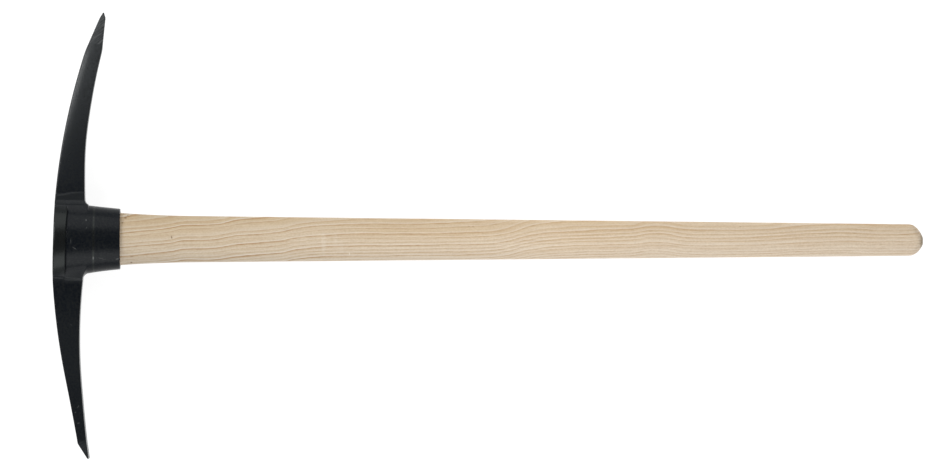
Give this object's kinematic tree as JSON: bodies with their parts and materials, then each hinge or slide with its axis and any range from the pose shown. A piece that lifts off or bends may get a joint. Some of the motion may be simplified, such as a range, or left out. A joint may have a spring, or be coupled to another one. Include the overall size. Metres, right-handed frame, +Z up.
{
  "type": "pick axe",
  "caption": "Pick axe with a forged black head, a point on one arm and a flared chisel on the other, held by its tapered eye on a drop-in ash handle.",
  "frame": {"origin": "on the handle's axis, in the plane of the collar's rim, where the handle comes out of the head", "axes": "+X along the handle towards the grip, +Y towards the pick point, +Z up with the tool lying flat on its side"},
  "size_m": [0.9532, 0.4885, 0.0622],
  "materials": {
    "painted_forging": "thin semi-matt black paint over a drop forging",
    "ash": "turned, sanded and left bare"
  },
  "bodies": {
    "handle_body": {"handle": "ash"},
    "head_body": {"head": "painted_forging"}
  },
  "joints": [
    {"name": "head_slide", "type": "slide", "parent": "handle_body", "child": "head_body", "axis": [1, 0, 0], "range_m": [0, 0.96]}
  ]
}
